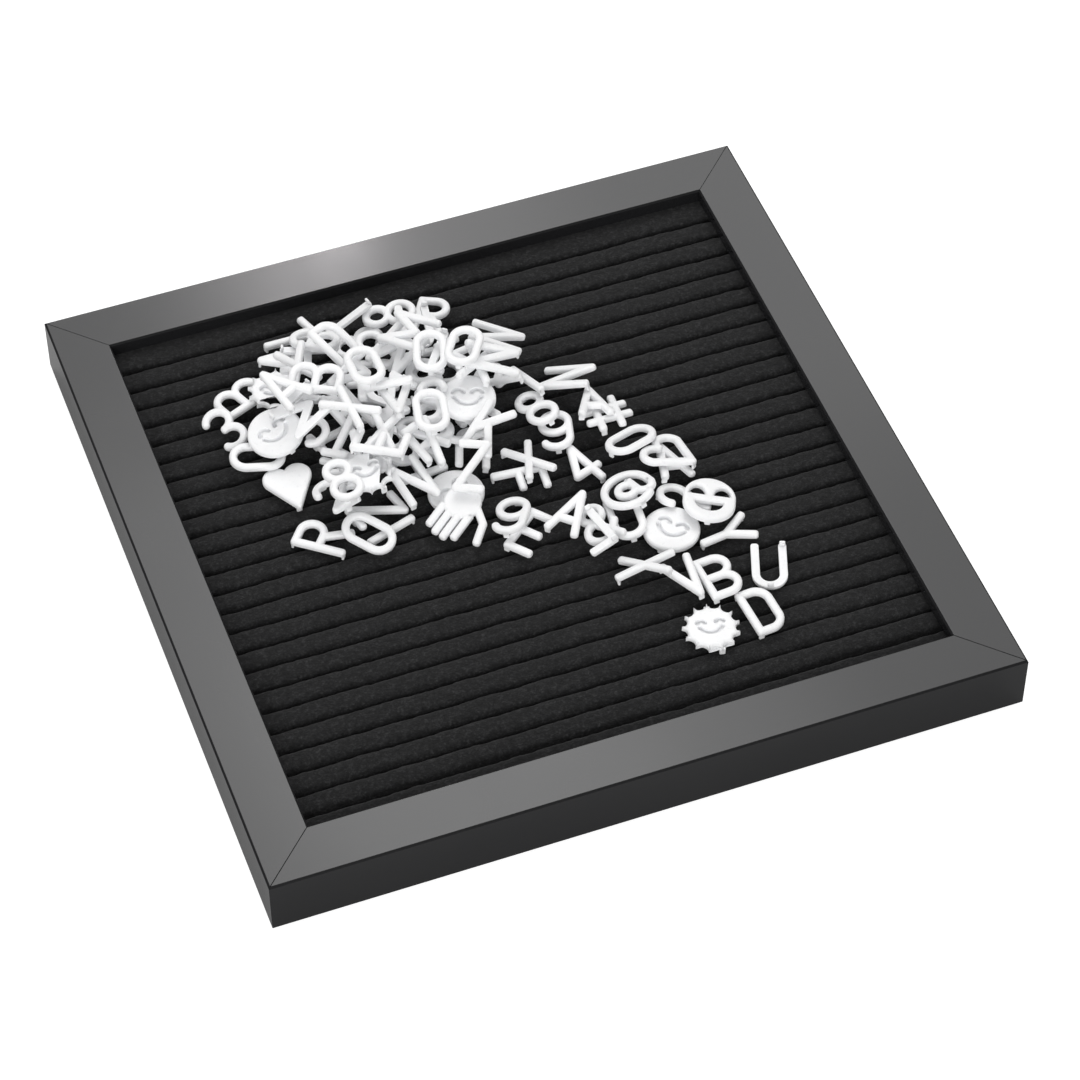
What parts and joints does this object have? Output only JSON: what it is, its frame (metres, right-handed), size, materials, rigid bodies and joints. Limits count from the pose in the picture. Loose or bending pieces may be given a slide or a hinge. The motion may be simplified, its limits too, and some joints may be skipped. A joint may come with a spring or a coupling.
{
  "type": "felt letter board",
  "caption": "Square grooved felt letter board in a black mitred frame, lying on its back with a spilled heap of white push-in letters, digits and signs.",
  "frame": {"origin": "under the middle of the board, on the plane of the bumpers' undersides", "axes": "+X along the grooves, +Y towards the top rail, +Z out of the felt"},
  "size_m": [0.254, 0.254, 0.0451],
  "materials": {
    "frame": "satin black",
    "felt": "fine short pile",
    "slats": "plain fibreboard",
    "hardboard": "smooth hardboard",
    "steel": "plain steel",
    "bumper": "soft rubber",
    "characters": "moulded white"
  },
  "bodies": {
    "board": {"rear_rail": "frame", "front_rail": "frame", "left_rail": "frame", "right_rail": "frame", "corner_v_nails": "steel", "groove_slats": "slats", "slat_backing": "hardboard", "felt_face": "felt", "back_panel": "hardboard", "retaining_tabs": "steel", "sawtooth_hanger": "steel", "hanger_nails": "steel", "wall_bumpers": "bumper"},
    "smiling_sun_body": {"smiling_sun": "characters"},
    "letter_d_body": {"letter_d": "characters"},
    "letter_b_body": {"letter_b": "characters"},
    "letter_v_body": {"letter_v": "characters"},
    "letter_x_body": {"letter_x": "characters"},
    "letter_y_body": {"letter_y": "characters"},
    "letter_u_body": {"letter_u": "characters"},
    "smiley_front_body": {"smiley_front": "characters"},
    "digit_two_body": {"digit_two": "characters"},
    "open_face_body": {"open_face": "characters"},
    "letter_u_low_body": {"letter_u_low": "characters"},
    "at_sign_body": {"at_sign": "characters"},
    "letter_e_low_body": {"letter_e_low": "characters"},
    "digit_nine_body": {"digit_nine": "characters"},
    "ampersand_body": {"ampersand": "characters"},
    "letter_l_body": {"letter_l": "characters"},
    "letter_a_front_body": {"letter_a_front": "characters"},
    "digit_four_body": {"digit_four": "characters"},
    "letter_a_right_body": {"letter_a_right": "characters"},
    "open_heart_body": {"open_heart": "characters"},
    "letter_o_right_body": {"letter_o_right": "characters"},
    "hash_sign_body": {"hash_sign": "characters"},
    "letter_a_rear_body": {"letter_a_rear": "characters"},
    "letter_f_body": {"letter_f": "characters"},
    "letter_n_body": {"letter_n": "characters"},
    "digit_nine_rear_body": {"digit_nine_rear": "characters"},
    "letter_x_rear_body": {"letter_x_rear": "characters"},
    "digit_eight_body": {"digit_eight": "characters"},
    "digit_seven_body": {"digit_seven": "characters"},
    "letter_r_body": {"letter_r": "characters"},
    "letter_i_body": {"letter_i": "characters"},
    "letter_z_body": {"letter_z": "characters"},
    "letter_o_left_body": {"letter_o_left": "characters"},
    "smiley_middle_body": {"smiley_middle": "characters"},
    "open_hand_body": {"open_hand": "characters"},
    "full_heart_body": {"full_heart": "characters"},
    "heap_edge_body": {"heap_edge": "characters"},
    "heap_floor_body": {"heap_floor": "characters"},
    "heap_rear_body": {"heap_rear": "characters"},
    "heap_lower_body": {"heap_lower": "characters"},
    "heap_left_body": {"heap_left": "characters"},
    "heap_right_body": {"heap_right": "characters"},
    "heap_front_body": {"heap_front": "characters"},
    "heap_core_body": {"heap_core": "characters"},
    "heap_middle_body": {"heap_middle": "characters"},
    "heap_upper_body": {"heap_upper": "characters"}
  },
  "joints": [
    {"name": "smiling_sun_lift", "type": "slide", "parent": "board", "child": "smiling_sun_body", "axis": [0, 0, 1], "range_m": [0, 0.012]},
    {"name": "letter_d_lift", "type": "slide", "parent": "board", "child": "letter_d_body", "axis": [0, 0, 1], "range_m": [0, 0.012]},
    {"name": "letter_b_lift", "type": "slide", "parent": "letter_d_body", "child": "letter_b_body", "axis": [0, 0, 1], "range_m": [0, 0.012]},
    {"name": "letter_v_lift", "type": "slide", "parent": "letter_b_body", "child": "letter_v_body", "axis": [0, 0, 1], "range_m": [0, 0.012]},
    {"name": "letter_x_lift", "type": "slide", "parent": "letter_v_body", "child": "letter_x_body", "axis": [0, 0, 1], "range_m": [0, 0.012]},
    {"name": "letter_y_lift", "type": "slide", "parent": "letter_x_body", "child": "letter_y_body", "axis": [0, 0, 1], "range_m": [0, 0.012]},
    {"name": "letter_u_lift", "type": "slide", "parent": "board", "child": "letter_u_body", "axis": [0, 0, 1], "range_m": [0, 0.012]},
    {"name": "smiley_front_lift", "type": "slide", "parent": "letter_y_body", "child": "smiley_front_body", "axis": [0, 0, 1], "range_m": [0, 0.012]},
    {"name": "digit_two_lift", "type": "slide", "parent": "smiley_front_body", "child": "digit_two_body", "axis": [0, 0, 1], "range_m": [0, 0.012]},
    {"name": "open_face_lift", "type": "slide", "parent": "digit_two_body", "child": "open_face_body", "axis": [0, 0, 1], "range_m": [0, 0.012]},
    {"name": "letter_u_low_lift", "type": "slide", "parent": "digit_two_body", "child": "letter_u_low_body", "axis": [0, 0, 1], "range_m": [0, 0.012]},
    {"name": "at_sign_lift", "type": "slide", "parent": "letter_u_low_body", "child": "at_sign_body", "axis": [0, 0, 1], "range_m": [0, 0.012]},
    {"name": "letter_e_low_lift", "type": "slide", "parent": "letter_u_low_body", "child": "letter_e_low_body", "axis": [0, 0, 1], "range_m": [0, 0.012]},
    {"name": "digit_nine_lift", "type": "slide", "parent": "letter_e_low_body", "child": "digit_nine_body", "axis": [0, 0, 1], "range_m": [0, 0.012]},
    {"name": "ampersand_lift", "type": "slide", "parent": "letter_e_low_body", "child": "ampersand_body", "axis": [0, 0, 1], "range_m": [0, 0.012]},
    {"name": "letter_l_lift", "type": "slide", "parent": "ampersand_body", "child": "letter_l_body", "axis": [0, 0, 1], "range_m": [0, 0.012]},
    {"name": "letter_a_front_lift", "type": "slide", "parent": "letter_l_body", "child": "letter_a_front_body", "axis": [0, 0, 1], "range_m": [0, 0.012]},
    {"name": "digit_four_lift", "type": "slide", "parent": "digit_two_body", "child": "digit_four_body", "axis": [0, 0, 1], "range_m": [0, 0.012]},
    {"name": "letter_a_right_lift", "type": "slide", "parent": "digit_four_body", "child": "letter_a_right_body", "axis": [0, 0, 1], "range_m": [0, 0.012]},
    {"name": "open_heart_lift", "type": "slide", "parent": "letter_a_right_body", "child": "open_heart_body", "axis": [0, 0, 1], "range_m": [0, 0.012]},
    {"name": "letter_o_right_lift", "type": "slide", "parent": "open_heart_body", "child": "letter_o_right_body", "axis": [0, 0, 1], "range_m": [0, 0.012]},
    {"name": "hash_sign_lift", "type": "slide", "parent": "letter_o_right_body", "child": "hash_sign_body", "axis": [0, 0, 1], "range_m": [0, 0.012]},
    {"name": "letter_a_rear_lift", "type": "slide", "parent": "hash_sign_body", "child": "letter_a_rear_body", "axis": [0, 0, 1], "range_m": [0, 0.012]},
    {"name": "letter_f_lift", "type": "slide", "parent": "letter_a_rear_body", "child": "letter_f_body", "axis": [0, 0, 1], "range_m": [0, 0.012]},
    {"name": "letter_n_lift", "type": "slide", "parent": "letter_f_body", "child": "letter_n_body", "axis": [0, 0, 1], "range_m": [0, 0.012]},
    {"name": "digit_nine_rear_lift", "type": "slide", "parent": "letter_n_body", "child": "digit_nine_rear_body", "axis": [0, 0, 1], "range_m": [0, 0.012]},
    {"name": "letter_x_rear_lift", "type": "slide", "parent": "digit_nine_rear_body", "child": "letter_x_rear_body", "axis": [0, 0, 1], "range_m": [0, 0.012]},
    {"name": "digit_eight_lift", "type": "slide", "parent": "letter_x_rear_body", "child": "digit_eight_body", "axis": [0, 0, 1], "range_m": [0, 0.012]},
    {"name": "digit_seven_lift", "type": "slide", "parent": "digit_eight_body", "child": "digit_seven_body", "axis": [0, 0, 1], "range_m": [0, 0.012]},
    {"name": "letter_r_lift", "type": "slide", "parent": "digit_seven_body", "child": "letter_r_body", "axis": [0, 0, 1], "range_m": [0, 0.012]},
    {"name": "letter_i_lift", "type": "slide", "parent": "letter_r_body", "child": "letter_i_body", "axis": [0, 0, 1], "range_m": [0, 0.012]},
    {"name": "letter_z_lift", "type": "slide", "parent": "letter_i_body", "child": "letter_z_body", "axis": [0, 0, 1], "range_m": [0, 0.012]},
    {"name": "letter_o_left_lift", "type": "slide", "parent": "letter_z_body", "child": "letter_o_left_body", "axis": [0, 0, 1], "range_m": [0, 0.012]},
    {"name": "smiley_middle_lift", "type": "slide", "parent": "letter_o_left_body", "child": "smiley_middle_body", "axis": [0, 0, 1], "range_m": [0, 0.012]},
    {"name": "open_hand_lift", "type": "slide", "parent": "smiley_middle_body", "child": "open_hand_body", "axis": [0, 0, 1], "range_m": [0, 0.012]},
    {"name": "full_heart_lift", "type": "slide", "parent": "open_hand_body", "child": "full_heart_body", "axis": [0, 0, 1], "range_m": [0, 0.012]},
    {"name": "heap_edge_lift", "type": "slide", "parent": "full_heart_body", "child": "heap_edge_body", "axis": [0, 0, 1], "range_m": [0, 0.012]},
    {"name": "heap_floor_lift", "type": "slide", "parent": "heap_edge_body", "child": "heap_floor_body", "axis": [0, 0, 1], "range_m": [0, 0.012]},
    {"name": "heap_rear_lift", "type": "slide", "parent": "heap_floor_body", "child": "heap_rear_body", "axis": [0, 0, 1], "range_m": [0, 0.012]},
    {"name": "heap_lower_lift", "type": "slide", "parent": "heap_rear_body", "child": "heap_lower_body", "axis": [0, 0, 1], "range_m": [0, 0.012]},
    {"name": "heap_left_lift", "type": "slide", "parent": "heap_lower_body", "child": "heap_left_body", "axis": [0, 0, 1], "range_m": [0, 0.012]},
    {"name": "heap_right_lift", "type": "slide", "parent": "heap_left_body", "child": "heap_right_body", "axis": [0, 0, 1], "range_m": [0, 0.012]},
    {"name": "heap_front_lift", "type": "slide", "parent": "heap_right_body", "child": "heap_front_body", "axis": [0, 0, 1], "range_m": [0, 0.012]},
    {"name": "heap_core_lift", "type": "slide", "parent": "heap_front_body", "child": "heap_core_body", "axis": [0, 0, 1], "range_m": [0, 0.012]},
    {"name": "heap_middle_lift", "type": "slide", "parent": "heap_core_body", "child": "heap_middle_body", "axis": [0, 0, 1], "range_m": [0, 0.012]},
    {"name": "heap_upper_lift", "type": "slide", "parent": "heap_middle_body", "child": "heap_upper_body", "axis": [0, 0, 1], "range_m": [0, 0.012]}
  ]
}
